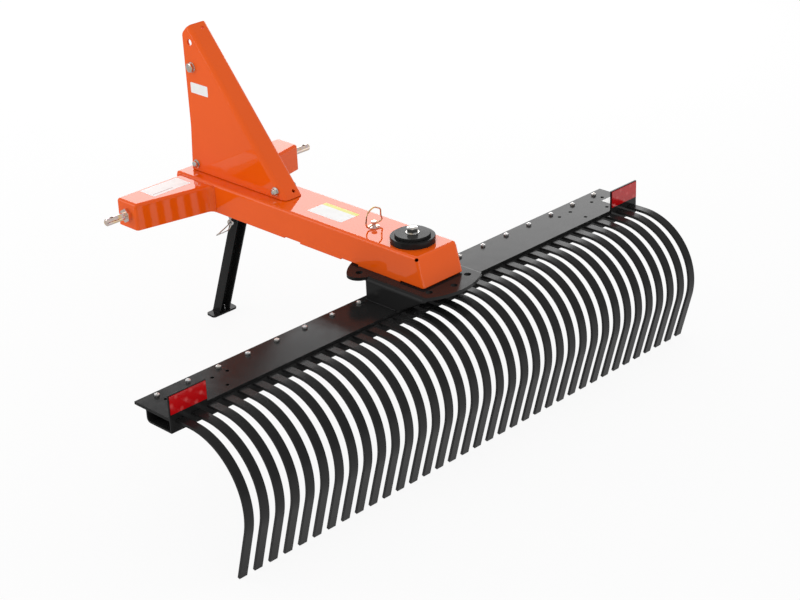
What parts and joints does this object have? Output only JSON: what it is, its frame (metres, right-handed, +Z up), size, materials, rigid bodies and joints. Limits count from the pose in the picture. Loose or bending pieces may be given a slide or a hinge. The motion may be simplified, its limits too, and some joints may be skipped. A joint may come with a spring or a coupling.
{
  "type": "landscape rake",
  "caption": "Tractor-mounted landscape rake: curved spring tines on a swinging rake head, box beam, three-point hitch mast and folding stand.",
  "frame": {"origin": "on the floor, midway along, across and under the parked machine", "axes": "+X to the machine's right, +Y forward to the tractor, +Z up; tines and stand foot on Z = 0"},
  "size_m": [1.8384, 1.2514, 0.9442],
  "materials": {
    "orange": "gloss",
    "black": "satin",
    "zinc": "zinc plated",
    "reflector": "gloss"
  },
  "bodies": {
    "frame": {"beam_channel": "orange", "beam_bottom_plate": "orange", "pivot_sleeve": "orange", "hitch_arm_left": "orange", "hitch_arm_right": "orange", "lower_pin_left": "zinc", "lower_pin_right": "zinc", "mast": "orange", "mast_lugs": "orange", "mast_bolts": "zinc", "mast_spacer": "zinc", "index_pin": "zinc", "stand_bracket": "black", "stand_pin": "zinc"},
    "rake": {"saddle": "black", "pivot_post": "black", "pivot_disc_large": "black", "pivot_disc_small": "black", "pivot_bolt": "zinc", "rake_plate": "black", "rake_channel": "black", "rake_rear_plate": "black", "reflector_left": "reflector", "reflector_right": "reflector", "tine_bolts": "zinc", "tine_pair_01": "black", "tine_pair_02": "black", "tine_pair_03": "black", "tine_pair_04": "black", "tine_pair_05": "black", "tine_pair_06": "black", "tine_pair_07": "black", "tine_pair_08": "black", "tine_pair_09": "black", "tine_pair_10": "black", "tine_pair_11": "black", "tine_pair_12": "black", "tine_pair_13": "black", "tine_pair_14": "black", "tine_pair_15": "black", "tine_pair_16": "black", "tine_pair_17": "black", "tine_pair_18": "black"},
    "stand": {"stand_leg": "black", "stand_foot": "black"}
  },
  "joints": [
    {"name": "rake_swing", "type": "hinge", "parent": "frame", "child": "rake", "pos_m": [0, -0.3153, 0.44336], "axis": [0, 0.0558, 0.9984], "range_deg": [-45, 45]},
    {"name": "stand_fold", "type": "hinge", "parent": "frame", "child": "stand", "pos_m": [0, 0.42264, 0.37696], "axis": [-1, 0, 0], "range_deg": [0, 106]}
  ]
}
